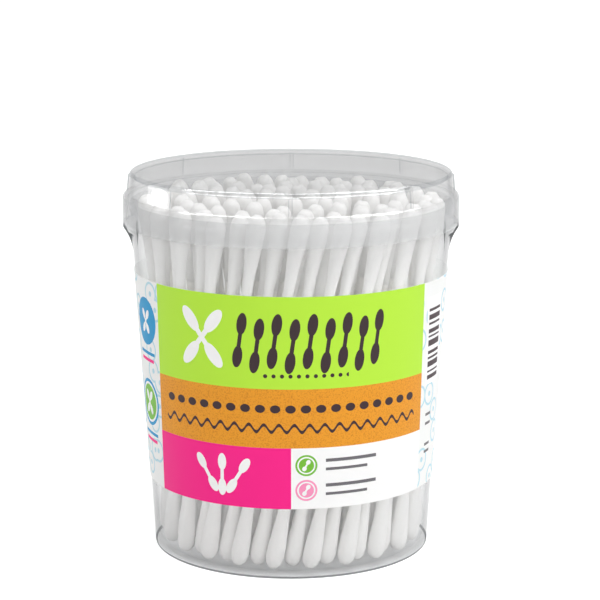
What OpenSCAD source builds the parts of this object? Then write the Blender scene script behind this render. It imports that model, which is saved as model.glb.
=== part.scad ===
// Round clear tub of cotton swabs, with a lift-off lid and a wrap label.
// Millimetres. The origin is the centre of the base, +Z is up and the label's front faces -Y.

/* [Tub] */
// Outer diameter of the tub at its base
base_d = 58.8; // [55:0.2:64]
// Outer diameter of the tub at its rim
rim_d = 68.2; // [65:0.2:74]
// Thickness of the tub's wall
tub_wall = 1; // [0.8:0.05:1.2]
// Thickness of the tub's floor
floor_t = 0.8; // [0.6:0.1:2]
// Height of the foot ring under the floor
foot_h = 0.4; // [0.3:0.1:1.5]
// Width of the foot ring
foot_w = 2.2; // [1.6:0.1:4]
// Radius of the base's outer edge
base_edge_r = 0.5; // [0.3:0.1:0.8]
// Radius of the inner corner between floor and wall
inner_corner_r = 1.2; // [0.6:0.1:1.6]

/* [Neck and ledge] */
// Height of the neck above the ledge
neck_h = 4.5; // [3.6:0.1:5]
// Thickness of the ledge's outer lip
lip_h = 0.6; // [0.4:0.1:1]
// Height of the flare that carries the ledge
flare_h = 5.8; // [4:0.1:8]
// Radius of the snap bead's section on the neck
bead_r = 0.45; // [0.3:0.05:0.5]
// How far the snap bead stands out of the neck
bead_proud = 0.15; // [0.1:0.01:0.2]
// How far the snap bead lies below the rim
bead_down = 1.8; // [1.4:0.1:2.2]
// Radius of the rim's rounded edges
rim_edge_r = 0.3; // [0.15:0.05:0.35]

/* [Lid] */
// Thickness of the lid's crown and shoulder
lid_wall = 1; // [0.8:0.05:1.2]
// Thickness of the lid's skirt
skirt_t = 1.1; // [0.9:0.05:1.3]
// Radial clearance between the neck and the skirt
lid_fit = 0.3; // [0.25:0.05:0.5]
// Gap between the tub's rim and the underside of the lid's shoulder
rim_gap = 0.9; // [0.4:0.1:1.2]
// Depth of the groove inside the skirt, round the snap bead
groove_depth = 0.25; // [0.15:0.05:0.35]
// Room in the groove above and below the snap bead
groove_room = 0.2; // [0.1:0.05:0.4]
// Width of the shoulder round the crown
shoulder_w = 1.1; // [0.8:0.05:1.6]
// Inward lean of the crown's wall, in degrees
crown_draft = 5; // [2:0.5:10]
// Radius of the crown's top edge
crown_edge_r = 1; // [0.6:0.1:1.4]
// Radius of the inner corner under the crown's top edge
crown_inner_r = 0.5; // [0.3:0.1:1]
// Radius of the shoulder's outer edge, at most the shoulder's width
shoulder_edge_r = 1.05; // [0.3:0.05:1.1]
// Room between the tallest swab and the lid
head_room = 2.5; // [1.2:0.1:4]
// Number of upright ribs round the crown
rib_n = 8; // [4:1:16]
// Width of one rib
rib_w = 0.9; // [0.6:0.1:1.2]
// How far a rib stands out of the crown
rib_proud = 0.35; // [0.2:0.05:0.4]

/* [Label] */
// Thickness of the label
label_t = 0.12; // [0.08:0.01:0.2]
// Clearance between the label and the wall it is stuck to
label_gap = 0.03; // [0.02:0.01:0.05]
// Height of the label's lower edge above the base
label_foot = 15.3; // [8:0.1:25]
// Bare wall between the label's upper edge and the flare
label_head = 3.6; // [2:0.1:10]
// Length of the lap where the label's ends meet at the back
label_lap = 6; // [3:0.5:12]

/* [Swabs] */
// Length of a swab from tip to tip
swab_l = 75.5; // [70:0.5:80]
// Diameter of the paper stick
stick_d = 2; // [1.8:0.1:2.4]
// Largest diameter of a cotton head
bud_d = 3.9; // [3.4:0.1:4.2]
// Length of a cotton head along the stick
bud_l = 18; // [12:0.5:20]
// Distance from a head's tip to its widest place
bud_tip_l = 2.7; // [2:0.1:4]
// Cotton beyond the end of the stick
tip_cover = 1.5; // [1:0.1:2.5]
// Thickness of the cotton where it ends on the stick
bud_edge = 0.08; // [0.06:0.02:0.3]
// Clearance between a stick and the cotton round it
stick_fit = 0.03; // [0.02:0.01:0.05]
// How far an upright swab would stand above the tub's rim
tip_proud = 2.4; // [2:0.1:6]
// Spread of the swabs' lengths
length_spread = 0.5; // [0:0.1:1]
// Gap between two neighbouring heads
swab_gap = 0.1; // [0.08:0.01:0.2]
// Gap between the outer swabs and the wall or the floor
wall_gap = 0.2; // [0.1:0.05:0.3]
// Turn of the outer rows from their feet to their tips, in degrees
bundle_twist = 29; // [0:1:32]
// How far the inner rows turn to lean like the outer ones: 0 is no extra turn, 1 the same lean
inner_lean = 0.8; // [0:0.05:0.9]
// Crowding of the outer row: 1 is a single row, less pushes every second swab inwards
outer_crowding = 0.925; // [0.92:0.005:1]
// Looseness of the inner rows: 1 is head against head
inner_looseness = 1.32; // [1.2:0.01:1.6]

/* [Hidden] */
$fn = 96;

// Points on one quarter of a rounded edge
edge_steps = 10;
// Points along a cotton head's rounded tip and along its taper
tip_steps = 5;
taper_steps = 7;
// Power of a head's taper: above 1 keeps the head full for longer
taper_power = 1.15;
// Points along the flare under the ledge
flare_steps = 8;
// Facets round a rib
rib_facets = 24;
// How deep the label's lap sinks into the layer under it, in layers
lap_sink = 0.5;
// Rows of swabs inside rows 1 and 2, and the turn from one of them to the next, in degrees
inner_rows = 4;
row_turn = 23;
// Spread of the inner rows, as a share of the free space round a swab
row_spread = 0.33;

// Heights, from the floor up
floor_top = foot_h + floor_t;
rim_z = floor_top + swab_l - tip_proud;
ledge_z = rim_z - neck_h;
flare_z = ledge_z - lip_h - flare_h;
bead_z = rim_z - bead_down;
shoulder_z = rim_z + rim_gap + lid_wall;
lid_top = floor_top + swab_l + length_spread + head_room + lid_wall;

// Radii
skirt_in = rim_d / 2 + lid_fit;
skirt_out = skirt_in + skirt_t;
crown_foot_r = skirt_out - shoulder_w;
shoulder_r = min(shoulder_edge_r, shoulder_w);
groove_h = bead_r + groove_room;
bead_angle = acos((bead_r - bead_proud) / bead_r);
wall_lean = atan((rim_d - base_d) / 2 / rim_z);
function wall_r(z) = base_d / 2 + z * tan(wall_lean);
function wall_in(z) = wall_r(z) - tub_wall / cos(wall_lean);
function crown_r(z) = crown_foot_r - (z - shoulder_z) * tan(crown_draft);
function crown_in(z) = crown_r(z) - lid_wall / cos(crown_draft);

// Points of an arc round [cx, cz], from one angle to another
function arc(cx, cz, r, from, to, steps = edge_steps) =
    [for (i = [0 : steps]) let (a = from + (to - from) * i / steps) [cx + r * cos(a), cz + r * sin(a)]];

// The flare is an arc that leaves the wall and ends square under the lip
flare_w = skirt_out - wall_r(ledge_z - lip_h);
flare_r = (flare_w * flare_w + flare_h * flare_h) / 2 / flare_w;
function flare_out(h) = flare_r - sqrt(flare_r * flare_r - h * h);

// Rows of swabs, as seen on the floor. Rows 1 and 2 stand against the wall, every second swab
// pushed inwards, and rows 3 to 6 share the space inside them.
bundle_floor = floor_top + wall_gap;
bud_r = bud_d / 2;
row_1_r = wall_in(bundle_floor + bud_tip_l) - bud_r - wall_gap;
top_r = wall_in(rim_z) - bud_r - wall_gap;
spread = top_r / row_1_r;
shift = row_1_r * norm([spread * cos(bundle_twist) - 1, spread * sin(bundle_twist)]);
pitch = (bud_d + swab_gap) / cos(asin(shift / swab_l));
outer_n = floor(PI * row_1_r / (outer_crowding * pitch));
outer_step = 180 / outer_n;
half_chord = row_1_r * sin(outer_step);
row_2_r = row_1_r * cos(outer_step) - sqrt(pitch * pitch - half_chord * half_chord);
row_step = row_2_r / (inner_rows + 1);
function row_r(row) = row == 1 ? row_1_r : row_2_r - (row - 2) * row_step;
function row_n(row) = row < 3 ? outer_n : floor(2 * PI * row_r(row) / (pitch * inner_looseness));

// A repeatable scatter between -1 and 1
function scatter(row, i, salt) = rands(-1, 1, 1, 100 * (10 * row + salt) + i)[0];
function radial_spare(row) = row < 3 ? 0 : row_step - pitch;
function turning_spare(row) = row < 3 ? 0 : 2 * PI * row_r(row) / row_n(row) - pitch;
function swab_r(row, i) = row_r(row) + row_spread * radial_spare(row) * scatter(row, i, 1);
function start_a(row) = row == 1 ? 0 : row == 2 ? outer_step : row * row_turn;
function swab_a(row, i) = start_a(row) + i * 360 / row_n(row)
    + row_spread * turning_spare(row) * scatter(row, i, 2) / row_r(row) * 180 / PI;
function swab_len(row, i) = swab_l + length_spread * scatter(row, i, 3);
function row_twist(row) = row < 3 ? bundle_twist : bundle_twist * pow(row_1_r / row_r(row), inner_lean);

// Foot and tip of one swab's axis
function foot_xy(row, i) = swab_r(row, i) * [cos(swab_a(row, i)), sin(swab_a(row, i))];
function tip_xy(row, i) = spread * swab_r(row, i)
    * [cos(swab_a(row, i) + row_twist(row)), sin(swab_a(row, i) + row_twist(row))];

module tub() {
    foot_in = base_d / 2 - foot_w;
    color([0.86, 0.9, 0.92, 0.45])
    rotate_extrude()
    polygon(concat(
        [[0, foot_h], [foot_in, foot_h], [foot_in + foot_h / 2, 0]],
        arc(base_d / 2 - base_edge_r, base_edge_r, base_edge_r, -90, -wall_lean),
        [[wall_r(flare_z), flare_z]],
        [for (i = [1 : flare_steps]) let (h = flare_h * i / flare_steps)
            [wall_r(flare_z + h) + flare_out(h), flare_z + h]],
        [[skirt_out, ledge_z], [wall_r(ledge_z), ledge_z]],
        arc(wall_r(bead_z) + bead_proud - bead_r, bead_z, bead_r, -bead_angle, bead_angle),
        arc(wall_r(rim_z) - rim_edge_r, rim_z - rim_edge_r, rim_edge_r, 0, 90),
        arc(wall_in(rim_z) + rim_edge_r, rim_z - rim_edge_r, rim_edge_r, 90, 180),
        arc(wall_in(floor_top + inner_corner_r) - inner_corner_r, floor_top + inner_corner_r,
            inner_corner_r, 0, -90),
        [[0, floor_top]]
    ));
}

module lid() {
    crown_edge_z = lid_top - crown_edge_r;
    crown_inner_z = lid_top - lid_wall - crown_inner_r;
    color([0.88, 0.92, 0.94, 0.4]) {
        rotate_extrude()
        polygon(concat(
            [[0, lid_top]],
            arc(crown_r(crown_edge_z) - crown_edge_r, crown_edge_z, crown_edge_r, 90, crown_draft),
            [[crown_foot_r, shoulder_z]],
            arc(skirt_out - shoulder_r, shoulder_z - shoulder_r, shoulder_r, 90, 0),
            [[skirt_out, ledge_z], [skirt_in, ledge_z]],
            [[skirt_in, bead_z - groove_h], [skirt_in + groove_depth, bead_z - groove_h / 2],
                [skirt_in + groove_depth, bead_z + groove_h / 2], [skirt_in, bead_z + groove_h]],
            [[skirt_in, shoulder_z - lid_wall], [crown_in(shoulder_z - lid_wall), shoulder_z - lid_wall]],
            arc(crown_in(crown_inner_z) - crown_inner_r, crown_inner_z, crown_inner_r, crown_draft, 90),
            [[0, lid_top - lid_wall]]
        ));
        for (i = [0 : rib_n - 1])
            rotate([0, 0, i * 360 / rib_n - 90]) rib();
    }
}

// One rounded upright rib on the crown, from inside the shoulder to the top edge
module rib() {
    rib_foot = shoulder_z - lid_wall / 2;
    rib_top = lid_top - crown_edge_r;
    rib_l = (rib_top - rib_foot) / cos(crown_draft);
    translate([crown_r(rib_foot) + rib_proud - rib_w / 2, 0, rib_foot])
        rotate([0, -crown_draft, 0])
        cylinder(d = rib_w, h = rib_l, $fn = rib_facets);
}

// A band of the label on the tapered wall, raised by whole layers
module label_band(layers_in, layers_out, angle) {
    low = label_foot;
    high = flare_z - label_head;
    near = label_gap + layers_in * label_t;
    far = label_gap + layers_out * label_t;
    rotate_extrude(angle = angle)
        polygon([[wall_r(low) + near, low], [wall_r(low) + far, low],
            [wall_r(high) + far, high], [wall_r(high) + near, high]]);
}

// The label goes once round the wall, and its last stretch is stuck down on its first
module label() {
    lap_angle = label_lap / wall_r(label_foot) * 180 / PI;
    color([0.68, 0.87, 0.34])
    rotate([0, 0, 90]) {
        label_band(0, 1, 360);
        label_band(1 - lap_sink, 2, lap_angle);
    }
}

// Sets a child that stands on [0, 0, 0] along one swab's axis
module on_swab(row, i) {
    foot = foot_xy(row, i);
    lean = tip_xy(row, i) - foot;
    translate([foot[0], foot[1], bundle_floor])
        rotate([0, asin(norm(lean) / swab_len(row, i)), atan2(lean[1], lean[0])])
        children();
}

// Radius of a cotton head at a distance from its tip, on the round tip and on the taper
neck_r = stick_d / 2 + stick_fit + bud_edge;
function tip_r(s) = bud_r * sqrt(max(0, 1 - pow(1 - s / bud_tip_l, 2)));
function taper_r(s) = let (share = (s - bud_tip_l) / (bud_l - bud_tip_l))
    neck_r + (bud_r - neck_r) * (1 + cos(180 * pow(share, taper_power))) / 2;

// One cotton head, its tip at the origin and its bore for the stick above it
module cotton_head() {
    bore = stick_d / 2 + stick_fit;
    rotate_extrude()
    polygon(concat(
        [[0, 0]],
        [for (i = [1 : tip_steps]) let (s = bud_tip_l * (1 - cos(90 * i / tip_steps))) [tip_r(s), s]],
        [for (i = [1 : taper_steps]) let (s = bud_tip_l + (bud_l - bud_tip_l) * i / taper_steps)
            [taper_r(s), s]],
        [[bore, bud_l], [bore, tip_cover], [0, tip_cover]]
    ));
}

module sticks(row) {
    color([0.95, 0.94, 0.9])
    for (i = [0 : row_n(row) - 1])
        on_swab(row, i)
            translate([0, 0, tip_cover + stick_fit])
            cylinder(d = stick_d, h = swab_len(row, i) - 2 * (tip_cover + stick_fit));
}

module lower_heads(row) {
    color([0.97, 0.97, 0.96])
    for (i = [0 : row_n(row) - 1])
        on_swab(row, i) cotton_head();
}

module upper_heads(row) {
    color([0.97, 0.97, 0.96])
    for (i = [0 : row_n(row) - 1])
        on_swab(row, i)
            translate([0, 0, swab_len(row, i)])
            rotate([180, 0, 0])
            cotton_head();
}

tub();
lid();
label();
sticks(1);  // sticks_row_1
sticks(2);  // sticks_row_2
sticks(3);  // sticks_row_3
sticks(4);  // sticks_row_4
sticks(5);  // sticks_row_5
sticks(6);  // sticks_row_6
upper_heads(1);  // upper_heads_row_1
upper_heads(2);  // upper_heads_row_2
upper_heads(3);  // upper_heads_row_3
upper_heads(4);  // upper_heads_row_4
upper_heads(5);  // upper_heads_row_5
upper_heads(6);  // upper_heads_row_6
lower_heads(1);  // lower_heads_row_1
lower_heads(2);  // lower_heads_row_2
lower_heads(3);  // lower_heads_row_3
lower_heads(4);  // lower_heads_row_4
lower_heads(5);  // lower_heads_row_5
lower_heads(6);  // lower_heads_row_6
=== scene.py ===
# %% [markdown]
# # A clear tub of cotton swabs
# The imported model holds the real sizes: a clear tub, a clear lid, a wrap label, and a hundred swabs
# in six rows. This notebook dresses it. Each step says what a piece is on the real object, how it
# could be made, and why one way was chosen.

import math
import random

import bpy
from mathutils import Matrix, Vector


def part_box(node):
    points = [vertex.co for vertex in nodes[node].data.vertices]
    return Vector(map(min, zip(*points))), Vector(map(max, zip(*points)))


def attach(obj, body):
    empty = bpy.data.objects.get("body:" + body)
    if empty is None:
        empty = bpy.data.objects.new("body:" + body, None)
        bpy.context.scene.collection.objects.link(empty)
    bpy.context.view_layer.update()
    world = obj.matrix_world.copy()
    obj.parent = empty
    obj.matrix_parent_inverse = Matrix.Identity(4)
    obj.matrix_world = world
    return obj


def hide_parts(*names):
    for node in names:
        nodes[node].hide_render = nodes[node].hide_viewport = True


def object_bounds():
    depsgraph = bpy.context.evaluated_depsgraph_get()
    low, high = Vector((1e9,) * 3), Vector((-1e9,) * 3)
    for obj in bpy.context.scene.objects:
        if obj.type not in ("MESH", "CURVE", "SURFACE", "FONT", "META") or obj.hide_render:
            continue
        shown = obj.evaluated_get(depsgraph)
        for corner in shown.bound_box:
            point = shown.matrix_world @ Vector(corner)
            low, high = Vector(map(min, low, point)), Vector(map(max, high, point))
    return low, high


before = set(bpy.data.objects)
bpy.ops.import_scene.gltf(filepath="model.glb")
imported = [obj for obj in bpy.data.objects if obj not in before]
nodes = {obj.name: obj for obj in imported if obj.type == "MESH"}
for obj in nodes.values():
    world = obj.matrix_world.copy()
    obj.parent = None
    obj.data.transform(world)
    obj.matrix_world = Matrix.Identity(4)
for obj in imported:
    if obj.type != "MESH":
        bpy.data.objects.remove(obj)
cad_low, cad_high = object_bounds()
scene = bpy.context.scene
MM = 0.001
print("packed model:", len(nodes), "nodes,", round((cad_high.z - cad_low.z) / MM, 1), "mm high")

# %% [markdown]
# ## The camera
# The photograph was taken from a little above the lid with a long lens, so the sides of the tub stay
# almost upright and the lid shows as a thin ellipse. A lens could be guessed by eye, but five circles
# of the tub (lid, ledge, two label edges and base) give it: their curves fix the distance, the height
# and the tilt together.

# %% Place the camera
CAMERA_DISTANCE = 464.6 * MM
CAMERA_HEIGHT = 146.2 * MM
CAMERA_DOWN = math.radians(11.4)
CAMERA_RIGHT = 1.9 * MM
FRAME_PIXELS = 600
FOCAL_PIXELS = 2222
SENSOR_MM = 36

bpy.ops.object.camera_add(
    location=(CAMERA_RIGHT, -CAMERA_DISTANCE, CAMERA_HEIGHT),
    rotation=(math.pi / 2 - CAMERA_DOWN, 0, 0),
)
camera = bpy.context.object
camera.name = "camera"
camera.data.sensor_width = SENSOR_MM
camera.data.lens = SENSOR_MM * FOCAL_PIXELS / FRAME_PIXELS
camera.data.clip_start = 0.01
scene.camera = camera
print("lens", round(camera.data.lens, 1), "mm")

# %% [markdown]
# ## Helpers for materials
# Every finish here is a small tree of nodes. Short helpers keep the trees readable: they add a node,
# feed a socket with a number or a link, do a sum, and start a material. More helpers follow where
# they are first needed.

# %% Node helpers
def add_node(tree, kind, **settings):
    """A new node with its settings."""
    made = tree.nodes.new(kind)
    for name, value in settings.items():
        setattr(made, name, value)
    return made


def feed(tree, socket, value):
    """Links value to the socket if it is a socket too, and else stores it there."""
    if isinstance(value, bpy.types.NodeSocket):
        tree.links.new(value, socket)
    else:
        socket.default_value = value


def calc(tree, operation, *values):
    """The result of a Math node."""
    made = add_node(tree, "ShaderNodeMath", operation=operation)
    for socket, value in zip(made.inputs, values):
        feed(tree, socket, value)
    return made.outputs[0]


def grey(share):
    """A grey that passes or returns this share of the light."""
    return (share, share, share, 1)


def new_material(name):
    """An empty material with a Principled BSDF and an output, and its tree."""
    material = bpy.data.materials.new(name)
    material.use_nodes = True
    tree = material.node_tree
    return material, tree, tree.nodes["Principled BSDF"], tree.nodes["Material Output"]


def dress(piece, material):
    """Puts one material on every face of a piece."""
    if not piece.data.materials:
        piece.data.materials.append(material)
    for slot in piece.material_slots:
        slot.material = material


print("helpers for nodes and materials are ready")

# %% [markdown]
# ## The studio
# The tub stands on white paper in soft light, and the background is pure white. White could come
# from strong lamps, but then the white swabs would burn out. So the lamps stay at a plain level and
# the paper itself carries the white: rays straight from the camera, and rays that gloss or glass
# sends on, see it brighter than the light makes it. Rays that went through the clear plastic first
# see less than half of that lift, so the see-through parts of the tub stand out as a light grey, as
# in the photograph.

# %% Floor
FLOOR_SIZE = 6.0
FLOOR_COLOUR = grey(0.74)
FLOOR_LIFT = 0.55
LIFT_THROUGH_PLASTIC = 0.24


def kinds_of_ray(tree):
    """Three masks: rays straight from the camera, rays from gloss or glass, and rays through film."""
    path = add_node(tree, "ShaderNodeLightPath").outputs
    sent_on = calc(tree, "MAXIMUM", path["Is Glossy Ray"], path["Is Transmission Ray"])
    past_film = calc(tree, "GREATER_THAN", path["Transparent Depth"], 0.5)
    through_film = calc(tree, "MULTIPLY", path["Is Camera Ray"], past_film)
    straight = calc(tree, "SUBTRACT", path["Is Camera Ray"], through_film)
    return straight, sent_on, through_film


def paper_floor():
    """White studio paper."""
    bpy.ops.mesh.primitive_plane_add(size=FLOOR_SIZE)
    floor = bpy.context.object
    floor.name = "floor"
    material, tree, shader, _ = new_material("studio_paper")
    shader.inputs["Base Color"].default_value = FLOOR_COLOUR
    shader.inputs["Roughness"].default_value = 0.9
    shader.inputs["Specular IOR Level"].default_value = 0.1
    shader.inputs["Emission Color"].default_value = (1, 1, 1, 1)
    straight, sent_on, through_film = kinds_of_ray(tree)
    lift = calc(tree, "MULTIPLY", calc(tree, "MAXIMUM", straight, sent_on), FLOOR_LIFT)
    lift = calc(tree, "MULTIPLY_ADD", through_film, LIFT_THROUGH_PLASTIC, lift)
    feed(tree, shader.inputs["Emission Strength"], lift)
    dress(floor, material)
    return floor


floor = paper_floor()
print("paper floor,", FLOOR_SIZE, "m across")

# %% [markdown]
# The room is white where the camera sees it, and white up to a low backdrop for gloss and glass.
# Above that it is a plain light grey, as a real studio's ceiling is: a clear lid shows its form only
# where it mirrors something darker than the backdrop. A key lamp at the front right gives the light
# its direction, and one overhead brightens the tips. The other three only show in gloss: they draw
# the bright patch, the long line and the crescent that the lid's rounded edges have in the
# photograph. The camera never sees a lamp itself, which would show as a white card behind the clear
# lid.

# %% Room light and lamps
ROOM_LIGHT = 0.72
BACKDROP_TOP = math.sin(math.radians(5))
CEILING_START = math.sin(math.radians(7))


def parts_of(tree, vector):
    """The X, Y and Z of a vector."""
    made = add_node(tree, "ShaderNodeSeparateXYZ")
    feed(tree, made.inputs[0], vector)
    return made.outputs


def ramp(tree, value, low, high, start=0.0, end=1.0):
    """start below low, end above high, and a straight ramp between."""
    made = add_node(tree, "ShaderNodeMapRange")
    limits = {"Value": value, "From Min": low, "From Max": high, "To Min": start, "To Max": end}
    for name, limit in limits.items():
        feed(tree, made.inputs[name], limit)
    return made.outputs[0]


def room():
    """A plain room that lights softly from all round."""
    world = bpy.data.worlds.new("room")
    scene.world = world
    world.use_nodes = True
    tree = world.node_tree
    background = tree.nodes["Background"]
    background.inputs["Color"].default_value = (1, 1, 1, 1)
    height = parts_of(tree, add_node(tree, "ShaderNodeTexCoord").outputs["Generated"])["Z"]
    backdrop = ramp(tree, height, CEILING_START, BACKDROP_TOP)
    straight, sent_on, _ = kinds_of_ray(tree)
    white = calc(tree, "MAXIMUM", straight, calc(tree, "MULTIPLY", sent_on, backdrop))
    strength = calc(tree, "MULTIPLY_ADD", white, 1 - ROOM_LIGHT, ROOM_LIGHT)
    feed(tree, background.inputs["Strength"], strength)


def soft_box(name, place, width, height, watts):
    """A rectangular lamp that faces the middle of the tub."""
    bpy.ops.object.light_add(type="AREA", location=place)
    lamp = bpy.context.object
    lamp.name = name
    lamp.data.shape = "RECTANGLE"
    lamp.data.size = width
    lamp.data.size_y = height
    lamp.data.energy = watts
    middle = Vector((0, 0, cad_high.z / 2))
    lamp.rotation_euler = (middle - Vector(place)).to_track_quat("-Z", "Y").to_euler()
    lamp.visible_camera = False
    return lamp


room()
soft_box("key_lamp", (0.66, -0.62, 0.66), width=0.9, height=0.6, watts=3.3)
top = soft_box("top_lamp", (0.1, -0.1, 0.95), width=0.6, height=0.6, watts=3.6)
top.visible_glossy = False
streak = soft_box("streak_lamp", (-0.56, 0.14, 0.13), width=0.26, height=0.26, watts=0.55)
line = soft_box("line_lamp", (0, 0.1, 0.9), width=2.0, height=0.22, watts=30)
crescent = soft_box("crescent_lamp", (0.46, 0.22, 0.9), width=0.9, height=0.55, watts=7.5)
for lamp in (streak, line, crescent):
    lamp.visible_diffuse = False
print("room light", ROOM_LIGHT, "and five soft lamps")

# %% [markdown]
# ## Clear plastic
# Tub and lid are injection-moulded clear plastic about a millimetre thick. Glass with its bending of
# light could be used, but a thin wall hardly bends what is seen through it. What the eye sees is a
# faint grey that deepens with the length of plastic that the sight line crosses, a haze where several
# walls lie close behind each other, and mirrored lamps. So each surface is a grey film, mixed with a
# little milky plastic and a mirror, round a body that absorbs light. Lamp rays and soft bounced light
# go straight through, so the swabs inside stay bright.
#
# The film has to know its place on the piece. These helpers read the point of the surface, and build
# and place node groups. A group is a tree that is built once and used with other values in many
# places.

# %% Helpers for places and groups
def vector_calc(tree, operation, *values):
    """The result of a Vector Math node."""
    made = add_node(tree, "ShaderNodeVectorMath", operation=operation)
    for socket, value in zip(made.inputs, values):
        feed(tree, socket, value)
    return made.outputs["Value" if operation in ("DOT_PRODUCT", "LENGTH") else "Vector"]


def level_of(tree, value, low, high):
    """0 below low, 1 above high, and a smooth step between."""
    made = add_node(tree, "ShaderNodeMapRange", interpolation_type="SMOOTHSTEP")
    for name, limit in {"Value": value, "From Min": low, "From Max": high}.items():
        feed(tree, made.inputs[name], limit)
    return made.outputs[0]


def object_place(tree):
    """The point of the surface in the object's own coordinates, in millimetres."""
    place = add_node(tree, "ShaderNodeTexCoord").outputs["Object"]
    scaled = add_node(tree, "ShaderNodeVectorMath", operation="SCALE")
    feed(tree, scaled.inputs[0], place)
    scaled.inputs["Scale"].default_value = 1 / MM
    return scaled.outputs[0]


def from_axis(tree):
    """The level vector from the tub's axis to the point of the surface, in millimetres."""
    return vector_calc(tree, "MULTIPLY", object_place(tree), (1, 1, 0))


def new_group(name, inputs, outputs):
    """A node group with named number sockets, and the sockets of its input and output nodes."""
    tree = bpy.data.node_groups.new(name, "ShaderNodeTree")
    for side, labels in (("INPUT", inputs), ("OUTPUT", outputs)):
        for label in labels:
            tree.interface.new_socket(label, in_out=side, socket_type="NodeSocketFloat")
    given = add_node(tree, "NodeGroupInput").outputs
    return tree, given, add_node(tree, "NodeGroupOutput").inputs


def use_group(tree, group, *values):
    """The outputs of a group that is placed in a tree with these inputs."""
    made = add_node(tree, "ShaderNodeGroup", node_tree=group)
    for socket, value in zip(made.inputs, values):
        feed(tree, socket, value)
    return made.outputs


print("helpers for places and groups are ready")

# %% [markdown]
# Two groups tell the film where it is. One marks a band of heights. The other reads the surface's
# normal, and marks upright walls, rounded corners, and the flanks of the ribs, which face sideways
# round the tub.

# %% Groups that tell the parts of a wall
UPRIGHT_STEEPNESS = (0.3, 0.8)
OFF_PLATE_STEEPNESS = (0.02, 0.15)
OFF_WALL_STEEPNESS = (0.6, 0.9)
FLANK_TURN = (0.3, 0.9)


def band_group():
    """A node group that is 1 at heights between Low and High, and fades to 0 over Soft."""
    tree, given, result = new_group("height_band", ("Low", "High", "Soft"), ("Inside",))
    height = parts_of(tree, object_place(tree))["Z"]
    under = calc(tree, "SUBTRACT", given["Low"], given["Soft"])
    over = calc(tree, "ADD", given["High"], given["Soft"])
    rise = level_of(tree, height, under, given["Low"])
    fall = level_of(tree, height, given["High"], over)
    feed(tree, result["Inside"], calc(tree, "MULTIPLY", rise, calc(tree, "SUBTRACT", 1.0, fall)))
    return tree


def wall_group():
    """A node group that tells upright walls, rounded corners and flanks."""
    tree, _, result = new_group("plastic_walls", (), ("Upright", "Corner", "Flank"))
    normal = add_node(tree, "ShaderNodeTexCoord").outputs["Normal"]
    steep = calc(tree, "SUBTRACT", 1.0, calc(tree, "ABSOLUTE", parts_of(tree, normal)["Z"]))
    feed(tree, result["Upright"], level_of(tree, steep, *UPRIGHT_STEEPNESS))
    off_plate = level_of(tree, steep, *OFF_PLATE_STEEPNESS)
    off_wall = calc(tree, "SUBTRACT", 1.0, level_of(tree, steep, *OFF_WALL_STEEPNESS))
    feed(tree, result["Corner"], calc(tree, "MULTIPLY", off_plate, off_wall))
    radial = vector_calc(tree, "NORMALIZE", from_axis(tree))
    sideways = vector_calc(tree, "CROSS_PRODUCT", radial, (0, 0, 1))
    turn = calc(tree, "ABSOLUTE", vector_calc(tree, "DOT_PRODUCT", sideways, normal))
    feed(tree, result["Flank"], level_of(tree, turn, *FLANK_TURN))
    return tree


BAND, WALLS = band_group(), wall_group()


def in_band(tree, low, high, soft):
    """1 at heights between low and high, in millimetres."""
    return use_group(tree, BAND, low, high, soft)["Inside"]


print("groups for the film:", BAND.name, "and", WALLS.name)

# %% [markdown]
# Where a thick part is seen edge-on, real plastic bends the sight line away and shows something dark.
# The film doesn't bend it, so that dark is painted on those places as a darker tint, a painted
# refraction: the flanks of the ribs, the corner of the lid's top, a thin line round the outer edge of
# the foot, and a wedge at the outline of the flare under the ledge. The wedge follows the outline from
# any side, because Layer Weight finds it.

# %% Tints of the film, with painted dark refraction
# The colours for the flanks, the top corner, the foot line and the flare edge are painted dark,
# standing for the dark that bent light shows where thick plastic is seen edge-on.
FLANK_PAINTED_DARK = (0.76, 0.77, 0.78, 1)
TOP_CORNER_LOW, TOP_CORNER_HIGH = 79.2, 89.2
TOP_CORNER_PAINTED_DARK = (0.8, 0.81, 0.82, 1)
UNDER_FOOT = -1.0
FOOT_PLATE_TOP = 1.3
FOOT_PLATE_COLOUR = (0.97, 0.975, 0.98, 1)
FOOT_LINE_TOP = 0.5
FOOT_LINE_INNER_RADIUS = 28.3
FOOT_LINE_PAINTED_DARK = (0.35, 0.36, 0.37, 1)
FOOT_SOFT = 0.15
FLARE_LOW, FLARE_HIGH = 64.0, 69.0
FLARE_FACING = (0.975, 0.81)
FLARE_FACING_SOFT = 0.03
FLARE_PAINTED_DARK = (0.05, 0.06, 0.065, 1)
TINT_SOFT = 0.3


def mix_colour(tree, factor, first, second):
    """first where factor is 0, second where it is 1."""
    made = add_node(tree, "ShaderNodeMix", data_type="RGBA")
    feed(tree, made.inputs["Factor"], factor)
    feed(tree, made.inputs[6], first)
    feed(tree, made.inputs[7], second)
    return made.outputs[2]


def flare_edge(tree):
    """1 at the outline of the flare, in a wedge that widens upwards, where the dark of bent light is
    painted.
    """
    height = parts_of(tree, object_place(tree))["Z"]
    start = ramp(tree, height, FLARE_LOW, FLARE_HIGH, *FLARE_FACING)
    turned_away = add_node(tree, "ShaderNodeLayerWeight").outputs["Facing"]
    wedge = level_of(tree, calc(tree, "SUBTRACT", turned_away, start), 0.0, FLARE_FACING_SOFT)
    return calc(tree, "MULTIPLY", wedge, in_band(tree, FLARE_LOW, FLARE_HIGH, TINT_SOFT))


def foot_edge(tree):
    """1 round the outer edge of the foot, where a painted dark line stands for bent light."""
    radius = vector_calc(tree, "LENGTH", from_axis(tree))
    outer = calc(tree, "GREATER_THAN", radius, FOOT_LINE_INNER_RADIUS)
    return calc(tree, "MULTIPLY", outer, in_band(tree, UNDER_FOOT, FOOT_LINE_TOP, FOOT_SOFT))


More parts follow.
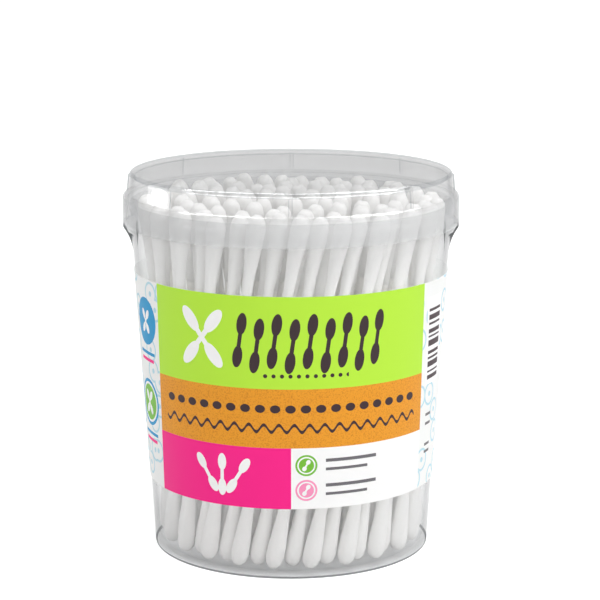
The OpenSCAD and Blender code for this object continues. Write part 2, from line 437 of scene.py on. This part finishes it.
def film_colour(tree, wall, plate):
    """The light that the film passes at each place, with painted dark laid where real plastic bends
    light.
    """
    kinds = use_group(tree, WALLS)
    not_level = calc(tree, "MAXIMUM", kinds["Upright"], kinds["Corner"])
    near_top = in_band(tree, TOP_CORNER_LOW, TOP_CORNER_HIGH, TINT_SOFT)
    # Laid over the film in turn: painted dark at the top corner and the flanks, a slightly greyer foot
    # plate, then painted dark at the foot line and the flare's outline.
    tints = (
        (calc(tree, "MULTIPLY", kinds["Corner"], near_top), TOP_CORNER_PAINTED_DARK),
        (kinds["Flank"], FLANK_PAINTED_DARK),
        (in_band(tree, UNDER_FOOT, FOOT_PLATE_TOP, FOOT_SOFT), FOOT_PLATE_COLOUR),
        (calc(tree, "MULTIPLY", foot_edge(tree), not_level), FOOT_LINE_PAINTED_DARK),
        (calc(tree, "MULTIPLY", flare_edge(tree), not_level), FLARE_PAINTED_DARK),
    )
    colour = mix_colour(tree, kinds["Upright"], grey(plate), grey(wall))
    for mask, tint in tints:
        colour = mix_colour(tree, mask, colour, tint)
    return colour


print("the film is darkest at the flare, from", FLARE_LOW, "to", FLARE_HIGH, "mm")

# %% [markdown]
# Shaders can be mixed as colours can, and a Light Path node tells what kind of ray asks for the
# colour. A bump tilts the normal, so that a mirrored lamp wanders as it does on a real moulding.

# %% Helpers for shaders and bumps
def add_shader(tree, kind, **values):
    """A new shader with these inputs."""
    made = add_node(tree, kind)
    for name, value in values.items():
        feed(tree, made.inputs[name], value)
    return made.outputs[0]


def mix_shaders(tree, factor, first, second):
    """The first shader where factor is 0, the second where it is 1."""
    made = add_node(tree, "ShaderNodeMixShader")
    for socket, value in zip(made.inputs, (factor, first, second)):
        feed(tree, socket, value)
    return made.outputs["Shader"]


def soft_light(tree):
    """1 for rays that look for a lamp, and for rays of soft bounced light."""
    path = add_node(tree, "ShaderNodeLightPath").outputs
    return calc(tree, "MAXIMUM", path["Is Shadow Ray"], path["Is Diffuse Ray"])


def noise(tree, place, scale, detail):
    """A soft random value from 0 to 1."""
    made = add_node(tree, "ShaderNodeTexNoise")
    for name, value in {"Vector": place, "Scale": scale, "Detail": detail}.items():
        feed(tree, made.inputs[name], value)
    return made.outputs["Fac"]


def bump(tree, height, strength, distance):
    """A normal that makes height look raised by distance."""
    made = add_node(tree, "ShaderNodeBump")
    made.inputs["Strength"].default_value = strength
    made.inputs["Distance"].default_value = distance
    feed(tree, made.inputs["Height"], height)
    return made.outputs["Normal"]


print("helpers for shaders and bumps are ready")

# %% [markdown]
# The plastic is the film with a little milk mixed into it, and a mirror over both. The mirror could
# follow Fresnel alone, which is faint face-on and strong at a glance, but then the outline would be
# all mirror, so its share is capped. Lamp rays and bounced light see a nearly clear shader instead.

# %% The clear plastic of the tub and the lid
PLASTIC_IOR = 1.5
LAMP_LIGHT_KEPT = 0.97
MILK_COLOUR = (0.8, 0.81, 0.82, 1)
MILK_ROUGHNESS = 0.3
MILK_EVERYWHERE = 0.01
MILK_SOFT = 0.4
BODY_COLOUR = (0.30, 0.31, 0.32, 1)
MIRROR_MOST = 0.09
MIRROR_ROUGHNESS = 0.07
RIPPLE_SCALE, RIPPLE_STRENGTH, RIPPLE_HEIGHT = 0.09, 0.04, 0.2 * MM
DULL_FOOT_TOP, DULL_FOOT_SOFT = 2.0, 1.0


def mirror(tree):
    """White gloss with a faint ripple."""
    waves = noise(tree, object_place(tree), RIPPLE_SCALE, 1)
    return add_shader(
        tree, "ShaderNodeBsdfGlossy", Color=grey(1), Roughness=MIRROR_ROUGHNESS,
        Normal=bump(tree, waves, RIPPLE_STRENGTH, RIPPLE_HEIGHT))


def mirror_share(tree, milky):
    """How much of the surface is mirror: none at the foot and where it is milky."""
    fresnel = add_node(tree, "ShaderNodeFresnel")
    fresnel.inputs["IOR"].default_value = PLASTIC_IOR
    dull = calc(tree, "MAXIMUM", in_band(tree, UNDER_FOOT, DULL_FOOT_TOP, DULL_FOOT_SOFT), milky)
    most = calc(tree, "MULTIPLY", calc(tree, "SUBTRACT", 1.0, dull), MIRROR_MOST)
    return calc(tree, "MINIMUM", fresnel.outputs[0], most)


def clear_plastic(name, wall, plate, murk, haze_low, haze_high, haze):
    """A clear plastic: the light its walls and plates pass, its murk a metre, and its milky band."""
    material, tree, milk, output = new_material(name)
    milk.inputs["Base Color"].default_value = MILK_COLOUR
    milk.inputs["Roughness"].default_value = MILK_ROUGHNESS
    milk.inputs["IOR"].default_value = PLASTIC_IOR
    film = add_shader(tree, "ShaderNodeBsdfTransparent", Color=film_colour(tree, wall, plate))
    milky = in_band(tree, haze_low, haze_high, MILK_SOFT)
    milk_share = calc(tree, "MULTIPLY_ADD", milky, haze, MILK_EVERYWHERE)
    plastic = mix_shaders(tree, milk_share, film, milk.outputs["BSDF"])
    surface = mix_shaders(tree, mirror_share(tree, milky), plastic, mirror(tree))
    nearly_clear = add_shader(tree, "ShaderNodeBsdfTransparent", Color=grey(LAMP_LIGHT_KEPT))
    feed(tree, output.inputs["Surface"], mix_shaders(tree, soft_light(tree), surface, nearly_clear))
    body = add_shader(tree, "ShaderNodeVolumeAbsorption", Color=BODY_COLOUR, Density=murk)
    feed(tree, output.inputs["Volume"], body)
    return material


LID_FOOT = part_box("lid")[0].z / MM
LID_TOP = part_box("lid")[1].z / MM
SKIRT_TALL = 5.6
dress(nodes["tub"], clear_plastic(
    "clear_tub", wall=0.98, plate=0.985, murk=50, haze_low=LID_FOOT, haze_high=LID_TOP, haze=0.12))
dress(nodes["lid"], clear_plastic(
    "clear_lid", wall=0.975, plate=0.99, murk=55, haze_low=LID_FOOT,
    haze_high=LID_FOOT + SKIRT_TALL, haze=0.2))
print("clear plastic on the tub and the lid, whose skirt starts at", round(LID_FOOT, 2), "mm")

# %% [markdown]
# ## Cotton heads
# A head is cotton wound on the end of a paper stick: a soft drop, widest near its tip. The packed
# heads are plain turned solids, so each is replaced. First the swabs have to be found: every row of
# sticks is one node of separate solids, so a copy is split into loose parts, and the two ends of each
# part give that swab's axis.

# %% Find each swab's axis
def loose_parts(node):
    """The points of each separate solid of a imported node."""
    bpy.ops.object.select_all(action="DESELECT")
    copy = bpy.data.objects.new("parts", node.data.copy())
    scene.collection.objects.link(copy)
    copy.select_set(True)
    bpy.context.view_layer.objects.active = copy
    bpy.ops.object.mode_set(mode="EDIT")
    bpy.ops.mesh.select_all(action="SELECT")
    bpy.ops.mesh.remove_doubles(threshold=0.001 * MM)
    bpy.ops.mesh.separate(type="LOOSE")
    bpy.ops.object.mode_set(mode="OBJECT")
    parts = []
    for part in list(bpy.context.selected_objects):
        parts.append([vertex.co.copy() for vertex in part.data.vertices])
        bpy.data.meshes.remove(part.data)
    return parts


def middle_of(points):
    """The mean of some points."""
    return sum(points, Vector()) / len(points)


def stick_ends(points):
    """The middles of a stick's lower and upper end."""
    heights = [point.z for point in points]
    halfway = (min(heights) + max(heights)) / 2
    low = middle_of([point for point in points if point.z < halfway])
    high = middle_of([point for point in points if point.z > halfway])
    return low, high


STICKS = "sticks_row_"
ROWS = sorted(int(name.removeprefix(STICKS)) for name in nodes if name.startswith(STICKS))
swabs = {row: [stick_ends(part) for part in loose_parts(nodes[f"{STICKS}{row}"])] for row in ROWS}
print("swabs in each row:", [len(swabs[row]) for row in ROWS])

# %% [markdown]
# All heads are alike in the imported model, so one of them, measured along its axis, gives the size of
# all. Its box can't, because the swab leans.

# %% Measure one packed head
def off_axis(point, start, axis):
    """How far along the axis a point lies, and how far off it."""
    along = (point - start).dot(axis)
    return along, (point - start - axis * along).length


low, high = swabs[1][0]
axis = (high - low).normalized()
heads = loose_parts(nodes["upper_heads_row_1"])
sample = min(heads, key=lambda points: (middle_of(points) - high).length)
alongs, radii = zip(*[off_axis(point, high, axis) for point in sample])
HEAD_REACH = max(alongs)
HEAD_LENGTH = max(alongs) - min(alongs)
HEAD_RADIUS = max(radii)
print("head", round(HEAD_LENGTH / MM, 2), "mm long,", round(2 * HEAD_RADIUS / MM, 2), "mm across")

# %% [markdown]
# A head could start as a stretched ball, but its outline is a long drop, so it is drawn up like clay
# on a wheel: a small disc at the tip is extruded ring by ring, and each ring is scaled to the drop's
# width at that height. Two hundred heads share this shape, so it has only a few dozen faces, and
# smooth shading rounds them.

# %% Model one head
HEAD_SIDES = 12
TIP_RINGS = (0.12, 0.45, 1)
NECK_RINGS = (0.18, 0.4, 0.62, 0.82, 1)
TIP_LENGTH = 2.7 * MM
NECK_RADIUS = 1.06 * MM
TAPER = 0.8


def head_rings():
    """Height above the tip and radius of each ring."""
    for share in TIP_RINGS:
        yield TIP_LENGTH * share, HEAD_RADIUS * math.sqrt(1 - (1 - share) ** 2)
    for share in NECK_RINGS:
        fullness = (1 + math.cos(math.pi * share ** TAPER)) / 2
        radius = NECK_RADIUS + (HEAD_RADIUS - NECK_RADIUS) * fullness
        yield TIP_LENGTH + (HEAD_LENGTH - TIP_LENGTH) * share, radius


def model_head():
    """One cotton head, its tip at the origin and its neck above it."""
    rings = list(head_rings())
    height, radius = rings[0]
    bpy.ops.object.select_all(action="DESELECT")
    bpy.ops.mesh.primitive_circle_add(
        vertices=HEAD_SIDES, radius=radius, fill_type="NGON", location=(0, 0, height))
    head = bpy.context.object
    head.name = "cotton_head"
    bpy.ops.object.transform_apply(location=True, rotation=False, scale=False)
    bpy.ops.object.mode_set(mode="EDIT")
    bpy.ops.mesh.select_all(action="SELECT")
    for next_height, next_radius in rings[1:]:
        bpy.ops.mesh.extrude_region_move(
            TRANSFORM_OT_translate={"value": (0, 0, next_height - height)})
        grow = next_radius / radius
        bpy.ops.transform.resize(value=(grow, grow, 1), center_override=(0, 0, next_height))
        height, radius = next_height, next_radius
    bpy.ops.mesh.select_all(action="SELECT")
    bpy.ops.mesh.normals_make_consistent(inside=False)
    bpy.ops.object.mode_set(mode="OBJECT")
    bpy.ops.object.shade_smooth()
    return head


pattern_head = model_head()
print("one head has", len(pattern_head.data.polygons), "faces")

# %% [markdown]
# Each swab gets its own two heads, turned and squeezed a little at random so that no two are alike.
# The random numbers start from a fixed seed, so every run gives the same tub. A row's heads are then
# joined, and a Displace modifier with a cloud texture presses soft lumps into them.

# %% Copy the heads along the swabs
SQUEEZE = 0.05
LUMP_SIZE = 2.2 * MM
LUMP_DEPTH = 0.22 * MM

lumps = bpy.data.textures.new("cotton_lumps", "CLOUDS")
lumps.noise_scale = LUMP_SIZE


def head_on(tip, inward, dice):
    """A copy of the head, its tip at a point and its neck in the inward direction."""
    copy = pattern_head.copy()
    copy.data = pattern_head.data.copy()
    scene.collection.objects.link(copy)
    squeeze = dice.uniform(-SQUEEZE, SQUEEZE)
    shape = Matrix.Diagonal((1 + squeeze, 1 - squeeze, 1, 1))
    spin = Matrix.Rotation(dice.uniform(0, math.tau), 4, "Z")
    turn = Vector((0, 0, 1)).rotation_difference(inward).to_matrix().to_4x4()
    copy.data.transform(Matrix.Translation(tip) @ turn @ spin @ shape)
    return copy


def cotton_row(row, end):
    """All the heads at one end of a row of swabs, as one piece."""
    dice = random.Random(10 * row + (end == "upper"))
    made = []
    for low, high in swabs[row]:
        start, other = (high, low) if end == "upper" else (low, high)
        inward = (other - start).normalized()
        made.append(head_on(start - inward * HEAD_REACH, inward, dice))
    bpy.ops.object.select_all(action="DESELECT")
    for head in made:
        head.select_set(True)
    bpy.context.view_layer.objects.active = made[0]
    bpy.ops.object.join()
    piece = bpy.context.object
    piece.name = f"cotton_{end}_row_{row}"
    press = piece.modifiers.new("lumps", "DISPLACE")
    press.texture = lumps
    press.texture_coords = "LOCAL"
    press.strength = LUMP_DEPTH
    bpy.ops.object.modifier_apply(modifier=press.name)
    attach(piece, "tub")
    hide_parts(f"{end}_heads_row_{row}")
    return piece


cotton_pieces = [cotton_row(row, end) for row in ROWS for end in ("lower", "upper")]
bpy.data.objects.remove(pattern_head)
faces = sum(len(piece.data.polygons) for piece in cotton_pieces)
print(len(cotton_pieces), "pieces of cotton,", faces, "faces")

# %% [markdown]
# ## Fibre
# Cotton and the rolled paper of the sticks are both made of fibre. One node group makes it: a soft
# height for the bump and a shade that varies a little, from two sizes of noise. Each material places
# the group with its own sizes.

# %% The fibre group, and the cotton and paper materials
FINE_HEIGHT = 0.4
FIBRE_BUMP = 0.6


def fibre_group():
    """A node group with a height and a shade for anything made of fibre."""
    tree, given, result = new_group("fibre", ("Fibre", "Lump", "Shade Loss"), ("Height", "Shade"))
    place = object_place(tree)
    fine = noise(tree, place, given["Fibre"], 3)
    coarse = noise(tree, place, given["Lump"], 1)
    feed(tree, result["Height"], calc(tree, "MULTIPLY_ADD", fine, FINE_HEIGHT, coarse))
    loss = calc(tree, "MULTIPLY", given["Shade Loss"], coarse)
    feed(tree, result["Shade"], calc(tree, "SUBTRACT", 1.0, loss))
    return tree


FIBRE = fibre_group()


def fibrous(name, light, dark, fibre_size, lump_size, depth):
    """A matte fibrous material between two colours, its sizes in millimetres."""
    material, tree, shader, _ = new_material(name)
    height, shade = use_group(tree, FIBRE, 1 / fibre_size, 1 / lump_size, 1.0)
    feed(tree, shader.inputs["Base Color"], mix_colour(tree, shade, dark, light))
    feed(tree, shader.inputs["Normal"], bump(tree, height, FIBRE_BUMP, depth * MM))
    shader.inputs["Roughness"].default_value = 0.95
    shader.inputs["Specular IOR Level"].default_value = 0.2
    return material, shader


cotton, shader = fibrous(
    "cotton", light=(0.94, 0.935, 0.925, 1), dark=(0.88, 0.875, 0.865, 1),
    fibre_size=0.12, lump_size=0.7, depth=0.12)
shader.inputs["Sheen Weight"].default_value = 0.25
shader.inputs["Sheen Roughness"].default_value = 0.6
for piece in cotton_pieces:
    dress(piece, cotton)

rolled_paper, _ = fibrous(
    "rolled_paper", light=(0.90, 0.89, 0.86, 1), dark=(0.84, 0.83, 0.79, 1),
    fibre_size=0.08, lump_size=0.5, depth=0.02)
for row in ROWS:
    dress(nodes[f"{STICKS}{row}"], rolled_paper)
print("fibre on", len(cotton_pieces), "cotton pieces and", len(ROWS), "rows of sticks")

# %% [markdown]
# ## The label's print
# The label is a printed strip round the wall. An image could be wrapped round it, but the print is
# flat fields of ink and simple marks, so it is drawn by the material: each mark is a small sum over
# the distance u round the wall, in millimetres from the middle of the front, and the height z. Three
# groups draw a bar, a disc and a swab, and each ink is laid over the ones before it.

# %% Groups that draw the marks
DRAWN_HEAD_HALF = 0.2  # of the drawing's length
DRAWN_STICK_HALF = 0.2  # of its width


def label_mark(name, *sizes):
    """A new group for a mark, its place inputs and its own sizes, and the output mask."""
    tree, given, result = new_group(name, ("U", "Z", *sizes), ("Mask",))
    return tree, given, result["Mask"]


def between(tree, value, low, high):
    """1 where low < value < high."""
    above = calc(tree, "GREATER_THAN", value, low)
    return calc(tree, "MULTIPLY", above, calc(tree, "LESS_THAN", value, high))


def off_middle(tree, given):
    """How far a point lies to the right of a mark's middle, and how far above it."""
    right = calc(tree, "SUBTRACT", given["U"], given["Middle U"])
    return right, calc(tree, "SUBTRACT", given["Z"], given["Middle Z"])


def bar_group():
    """A rectangle between two places round the wall and two heights."""
    tree, given, mask = label_mark("label_bar", "Left", "Right", "Low", "High")
    across = between(tree, given["U"], given["Left"], given["Right"])
    along = between(tree, given["Z"], given["Low"], given["High"])
    feed(tree, mask, calc(tree, "MULTIPLY", across, along))
    return tree


def ellipse(tree, across, along, half_width, half_height):
    """1 inside an ellipse round the origin."""
    wide = calc(tree, "POWER", calc(tree, "DIVIDE", across, half_width), 2.0)
    tall = calc(tree, "POWER", calc(tree, "DIVIDE", along, half_height), 2.0)
    return calc(tree, "LESS_THAN", calc(tree, "ADD", wide, tall), 1.0)


def disc_group():
    """A filled disc round a middle."""
    tree, given, mask = label_mark("label_disc", "Middle U", "Middle Z", "Radius")
    across, along = off_middle(tree, given)
    feed(tree, mask, ellipse(tree, across, along, given["Radius"], given["Radius"]))
    return tree


def swab_group():
    """A small drawing of a swab: a stick between two long drops, turned by Turn."""
    tree, given, mask = label_mark(
        "label_swab", "Middle U", "Middle Z", "Turn", "Length", "Width")
    across, along = off_middle(tree, given)
    cosine = calc(tree, "COSINE", given["Turn"])
    sine = calc(tree, "SINE", given["Turn"])
    length_way = calc(
        tree, "ADD", calc(tree, "MULTIPLY", across, sine), calc(tree, "MULTIPLY", along, cosine))
    width_way = calc(
        tree, "SUBTRACT", calc(tree, "MULTIPLY", across, cosine), calc(tree, "MULTIPLY", along, sine))
    folded = calc(tree, "ABSOLUTE", length_way)
    half_head = calc(tree, "MULTIPLY", given["Length"], DRAWN_HEAD_HALF)
    half_length = calc(tree, "MULTIPLY", given["Length"], 0.5)
    half_width = calc(tree, "MULTIPLY", given["Width"], 0.5)
    head_middle = calc(tree, "SUBTRACT", half_length, half_head)
    past_middle = calc(tree, "SUBTRACT", folded, head_middle)
    head = ellipse(tree, width_way, past_middle, half_width, half_head)
    half_stick = calc(tree, "MULTIPLY", given["Width"], DRAWN_STICK_HALF)
    thin = calc(tree, "LESS_THAN", calc(tree, "ABSOLUTE", width_way), half_stick)
    stick = calc(tree, "MULTIPLY", thin, calc(tree, "LESS_THAN", folded, head_middle))
    feed(tree, mask, calc(tree, "MAXIMUM", head, stick))
    return tree


BAR, DISC, SWAB = bar_group(), disc_group(), swab_group()
print("groups:", [group.name for group in bpy.data.node_groups])

# %% [markdown]
# The place on the label comes from the surface point itself: the angle round the tub times the
# distance from its axis is u, and the height is z. So the print stays upright on the tapered wall and
# needs no unwrapping.

# %% Inks, and a sheet to lay them on
def ink(red, green, blue):
    """A colour as a paint program gives it, from 0 to 255, in the render's linear values."""
    channels = [c / 255 for c in (red, green, blue)]
    return (*[c / 12.92 if c <= 0.04045 else ((c + 0.055) / 1.055) ** 2.4 for c in channels], 1.0)


PAPER = ink(244, 245, 244)
GREEN = ink(186, 236, 66)
ORANGE = ink(236, 158, 44)
ORANGE_DARK = ink(208, 128, 34)
PINK = ink(252, 34, 140)
PALE_PINK = ink(246, 150, 190)
BROWN = ink(60, 45, 50)
PALE_BLUE = ink(186, 221, 233)
BLUE = ink(0, 150, 205)
LEAF_GREEN = ink(120, 190, 60)
GREY = ink(110, 108, 112)
WHITE = ink(250, 250, 250)


class LabelPrint:
    """The print of the label: a colour that each ink is laid over."""

    def __init__(self, tree):
        self.tree = tree
        self.colour = PAPER
        x, y, self.z = parts_of(tree, object_place(tree))
        angle = calc(tree, "ARCTAN2", x, calc(tree, "MULTIPLY", y, -1.0))
        squares = calc(tree, "ADD", calc(tree, "MULTIPLY", x, x), calc(tree, "MULTIPLY", y, y))
        self.u = calc(tree, "MULTIPLY", angle, calc(tree, "SQRT", squares))

    def bar(self, left, right, low, high):
        """A rectangle."""
        return use_group(self.tree, BAR, self.u, self.z, left, right, low, high)[0]

    def disc(self, middle_u, middle_z, radius):
        """A filled disc."""
        return use_group(self.tree, DISC, self.u, self.z, middle_u, middle_z, radius)[0]

    def swab(self, middle_u, middle_z, degrees, length, width):
        """A drawing of a swab that leans to the right by degrees."""
        turn = math.radians(degrees)
        place = (self.u, self.z, middle_u, middle_z)
        return use_group(self.tree, SWAB, *place, turn, length, width)[0]

    def lay(self, mask, colour):
        """Prints a colour where the mask is 1."""
        self.colour = mix_colour(self.tree, mask, self.colour, colour)

    def lay_all(self, masks, colour):
        """Prints one colour at several marks."""
        for mask in masks:
            self.lay(mask, colour)


print("inks are ready, the green is", [round(share, 2) for share in GREEN[:3]])

# %% [markdown]
# The front panel has four fields: green above, orange kraft below it, and a band that is pink on the
# left and white on the right. Round the back the paper is white, with pale blue rings.

# %% Fields of colour
LABEL_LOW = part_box("label")[0].z / MM
LABEL_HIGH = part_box("label")[1].z / MM
PANEL_HALF = 32.2
ORANGE_TOP = 40.66
ORANGE_FOOT = 28.27
PINK_RIGHT = 0.1
RING_CELL = 7.0
RING_RADIUS = 0.33
RING_HALF_WIDTH = 0.035
FLECK_SCALE = 3.2
FLECKS_FROM, FLECKS_TO = 0.48, 0.72


def pale_rings(sheet):
    """Rings of one size, spread at random round the white part."""
    tree = sheet.tree
    flat = add_node(tree, "ShaderNodeCombineXYZ")
    feed(tree, flat.inputs["X"], sheet.u)
    feed(tree, flat.inputs["Y"], sheet.z)
    cells = add_node(tree, "ShaderNodeTexVoronoi", feature="F1", voronoi_dimensions="2D")
    feed(tree, cells.inputs["Vector"], flat.outputs[0])
    cells.inputs["Scale"].default_value = 1 / RING_CELL
    reach = cells.outputs["Distance"]
    ring = between(tree, reach, RING_RADIUS - RING_HALF_WIDTH, RING_RADIUS + RING_HALF_WIDTH)
    dot = calc(tree, "LESS_THAN", reach, RING_RADIUS / 4)
    sheet.lay_all((ring, dot), PALE_BLUE)


def kraft(sheet):
    """Orange with the darker flecks of kraft paper."""
    tree = sheet.tree
    flecks = noise(tree, object_place(tree), FLECK_SCALE, 3)
    return mix_colour(tree, ramp(tree, flecks, FLECKS_FROM, FLECKS_TO), ORANGE, ORANGE_DARK)


def fields(sheet):
    """The large fields of the front panel."""
    pale_rings(sheet)
    sheet.lay(sheet.bar(-PANEL_HALF, PANEL_HALF, LABEL_LOW - 1, ORANGE_FOOT), WHITE)
    sheet.lay(sheet.bar(-PANEL_HALF, PINK_RIGHT, LABEL_LOW - 1, ORANGE_FOOT), PINK)
    sheet.lay(sheet.bar(-PANEL_HALF, PANEL_HALF, ORANGE_FOOT, ORANGE_TOP), kraft(sheet))
    sheet.lay(sheet.bar(-PANEL_HALF, PANEL_HALF, ORANGE_TOP, LABEL_HIGH + 1), GREEN)


print("the label reaches from", round(LABEL_LOW, 1), "to", round(LABEL_HIGH, 1), "mm")

# %% [markdown]
# The marks are plain drawings of swabs, dots, waves and bars, each about as large and as dark as the
# print it stands for, so that the panel keeps its rhythm.

# %% Marks on the front panel
def crossed_swabs(sheet):
    """Two white swabs, crossed, on the left of the green."""
    marks = [sheet.swab(-19, 50.5, turn, length=15, width=2.7) for turn in (-38, 38)]
    sheet.lay_all(marks, WHITE)


def swab_picket(sheet):
    """A row of dark swabs across the green, every other one a little lower."""
    count, step, left, lean = 9, 3.6, -10.4, 8
    marks = [sheet.swab(left + i * step, 50.6 - (i % 2), lean, length=11.5, width=2.1)
             for i in range(count)]
    sheet.lay_all(marks, BROWN)


def bead_row(sheet, pitch, height, half_width, half_height, left, right):
    """A row of brown ellipses, one each pitch, between two places round the wall."""
    tree = sheet.tree
    cell = calc(tree, "PINGPONG", sheet.u, pitch / 2)
    along = calc(tree, "SUBTRACT", sheet.z, height)
    beads = ellipse(tree, cell, along, half_width, half_height)
    row = sheet.bar(left, right, height - 2 * half_height, height + 2 * half_height)
    sheet.lay(calc(tree, "MULTIPLY", beads, row), BROWN)


def dot_row(sheet):
    """A row of small dots under the dark swabs."""
    bead_row(sheet, 1.7, height=43.4, half_width=0.42, half_height=0.42, left=-6.2, right=12.0)


def orange_ornament(sheet):
    """Two rows on the orange: a bold row of beads and a fine wave."""
    tree = sheet.tree
    pitch, end = 3.1, 29.5
    bead_row(sheet, pitch, height=36.5, half_width=1.05, half_height=0.85, left=-end, right=end)
    swing = calc(tree, "SINE", calc(tree, "MULTIPLY", sheet.u, math.tau / pitch))
    height = calc(tree, "MULTIPLY_ADD", swing, -0.75, calc(tree, "SUBTRACT", sheet.z, 32.4))
    wave = calc(tree, "LESS_THAN", calc(tree, "ABSOLUTE", height), 0.36)
    sheet.lay(calc(tree, "MULTIPLY", wave, sheet.bar(-end, end, 31, 34)), BROWN)


def pink_fan(sheet):
    """Three white swabs in a fan, on the pink."""
    marks = [sheet.swab(-14.5 + turn / 9, 21.9, turn, length=9, width=1.9)
             for turn in (-32, 0, 32)]
    sheet.lay_all(marks, WHITE)


def two_buttons(sheet):
    """A green and a pink disc on the white, each beside two fine bars."""
    button_u, bars_left = 3.2, 7.2
    for middle, colour in ((24.6, LEAF_GREEN), (19.3, PALE_PINK)):
        for radius, shade in ((2.25, colour), (1.85, WHITE), (1.55, colour)):
            sheet.lay(sheet.disc(button_u, middle, radius), shade)
        sheet.lay(sheet.swab(button_u, middle, 30, length=2.6, width=0.9), WHITE)
        sheet.lay(sheet.bar(bars_left, 18.5, middle + 0.6, middle + 1.3), GREY)
        sheet.lay(sheet.bar(bars_left, 16.4, middle - 1.2, middle - 0.6), GREY)


print("marks on the front panel are ready to be laid")

# %% [markdown]
# The white sides carry two round marks on the left, each over two dashes, and bars on the right. The
# round marks repeat the panel's crossed swabs, so that front and side look like one design.

# %% Marks on the white sides
def left_discs(sheet):
    """Two discs on the left side, a full and a ringed one, each over two coloured dashes."""
    disc_u = -38.4
    for middle, gap, heart in ((50.7, BLUE, BLUE), (33.0, WHITE, LEAF_GREEN)):
        for radius, colour in ((5.1, BLUE), (4.4, gap), (3.9, heart)):
            sheet.lay(sheet.disc(disc_u, middle, radius), colour)
        marks = [sheet.swab(disc_u, middle, turn, length=6, width=1.4) for turn in (-35, 35)]
        sheet.lay_all(marks, WHITE)
        sheet.lay(sheet.bar(-42.5, -34.3, middle - 7.2, middle - 6.5), BLUE)
        sheet.lay(sheet.bar(-42.0, -34.8, middle - 8.7, middle - 8.0), PINK)


def right_bars(sheet):
    """A block of level bars of uneven thickness on the right side, over four short ones."""
    sheet.lay(sheet.bar(33.9, 41.5, 37.5, 56.5), WHITE)
    left, right, low = 34.7, 40.7, 38.6
    for thickness, gap in ((0.9, 0.6), (0.4, 0.8), (1.2, 0.5), (0.5, 0.6), (0.7, 1.0), (1.3, 0.6),
                           (0.4, 0.5), (0.9, 0.9), (0.5, 0.6), (1.1, 0.7), (0.6, 0.6)):
        sheet.lay(sheet.bar(left, right, low, low + thickness), BROWN)
        low += thickness + gap
    for level in (30.6, 28.6, 24.0, 22.4):
        sheet.lay(sheet.bar(left, 37.5, level, level + 0.6), GREY)


print("marks on the sides are ready to be laid")

# %% [markdown]
# The print sits under a thin satin varnish on smooth paper. The strip is never perfectly flat, so a
# slow, shallow bump lets its reflections wander a little. Its inner face, which shows through the
# tub's wall, is bare paper: there the surface looks towards the axis. White paper also lets light
# through, so the inner face glows softly, and part of the lamps' light reaches the swabs behind it.

# %% The label material
LABEL_LIGHT_PASSED = 0.4
INNER_GLOW = 0.95
SLACK_SCALE, SLACK_STRENGTH, SLACK_HEIGHT = 0.05, 0.3, 0.6 * MM


def looks_outwards(tree):
    """1 on faces that look away from the tub's axis."""
    normal = add_node(tree, "ShaderNodeTexCoord").outputs["Normal"]
    away = vector_calc(tree, "DOT_PRODUCT", from_axis(tree), normal)
    return calc(tree, "GREATER_THAN", away, 0.0)


def label_material():
    """The printed, varnished label."""
    material, tree, print_side, output = new_material("label_print")
    sheet = LabelPrint(tree)
    for draw in (fields, crossed_swabs, swab_picket, dot_row, orange_ornament, pink_fan,
                 two_buttons, left_discs, right_bars):
        draw(sheet)
    outer = looks_outwards(tree)
    feed(tree, print_side.inputs["Base Color"], mix_colour(tree, outer, PAPER, sheet.colour))
    print_side.inputs["Roughness"].default_value = 0.5
    print_side.inputs["Specular IOR Level"].default_value = 0.2
    slack = noise(tree, object_place(tree), SLACK_SCALE, 2)
    feed(tree, print_side.inputs["Normal"], bump(tree, slack, SLACK_STRENGTH, SLACK_HEIGHT))
    glow = add_shader(tree, "ShaderNodeBsdfTranslucent", Color=PAPER)
    glow_share = calc(tree, "MULTIPLY", calc(tree, "SUBTRACT", 1.0, outer), INNER_GLOW)
    paper = mix_shaders(tree, glow_share, print_side.outputs["BSDF"], glow)
    passed = add_shader(tree, "ShaderNodeBsdfTransparent")
    passed_share = calc(tree, "MULTIPLY", soft_light(tree), LABEL_LIGHT_PASSED)
    feed(tree, output.inputs["Surface"], mix_shaders(tree, passed_share, paper, passed))
    return material


dress(nodes["label"], label_material())
print("label nodes:", len(nodes["label"].active_material.node_tree.nodes))

# %% [markdown]
# ## Finish
# Light bounces often between the clear walls before it leaves them, so paths may be long.

# %% Light paths and the view transform
scene.cycles.max_bounces = 24
scene.cycles.transmission_bounces = 20
scene.cycles.transparent_max_bounces = 24
scene.view_settings.view_transform = "Standard"
